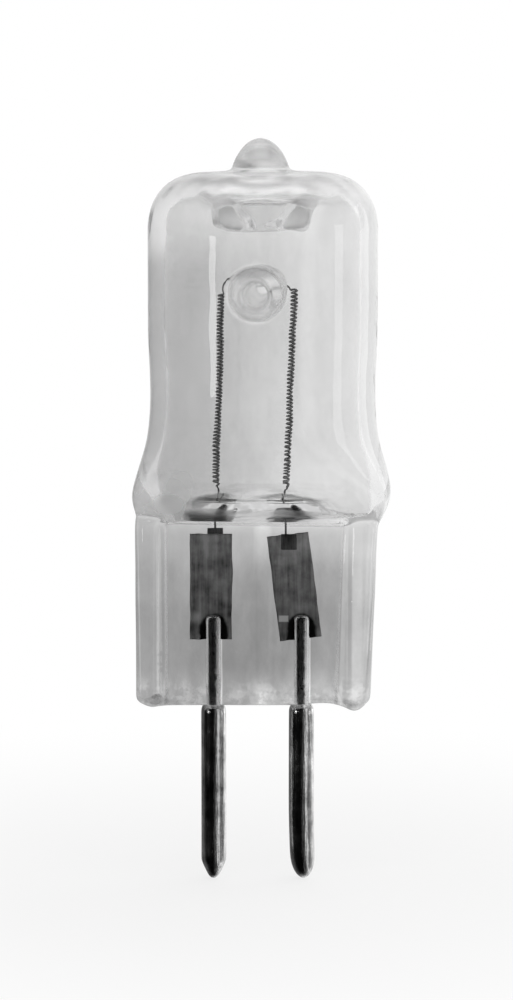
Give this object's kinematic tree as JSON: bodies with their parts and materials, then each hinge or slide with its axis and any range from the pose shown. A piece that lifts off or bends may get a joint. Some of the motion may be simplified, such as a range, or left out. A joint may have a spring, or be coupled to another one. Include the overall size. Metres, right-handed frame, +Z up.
{
  "type": "halogen capsule bulb",
  "caption": "Clear quartz halogen capsule bulb with a sealed tip, wound filament, flat press seal with foils, and straight contact pins.",
  "frame": {"origin": "midway between the two contact pins, on the flat bottom of the press seal", "axes": "+Z up along the bulb towards the sealed tip, X from pin to pin, -Y the face with the dimple"},
  "size_m": [0.0157, 0.0138, 0.045],
  "materials": {
    "clear_quartz": "clear, fire polished",
    "tungsten_wire": "dark drawn wire",
    "sealing_foil": "dull rolled foil",
    "weld_tab": "darkened by welding",
    "lead_wire": "bright drawn wire",
    "plated_pin": "dark plated, glossy"
  },
  "bodies": {
    "root": {"glass_envelope": "clear_quartz", "filament": "tungsten_wire", "left_foil": "sealing_foil", "right_foil": "sealing_foil", "left_weld_tab": "weld_tab", "right_weld_tab": "weld_tab", "left_outer_lead": "lead_wire", "right_outer_lead": "lead_wire", "left_contact_pin": "plated_pin", "right_contact_pin": "plated_pin"}
  },
  "joints": []
}
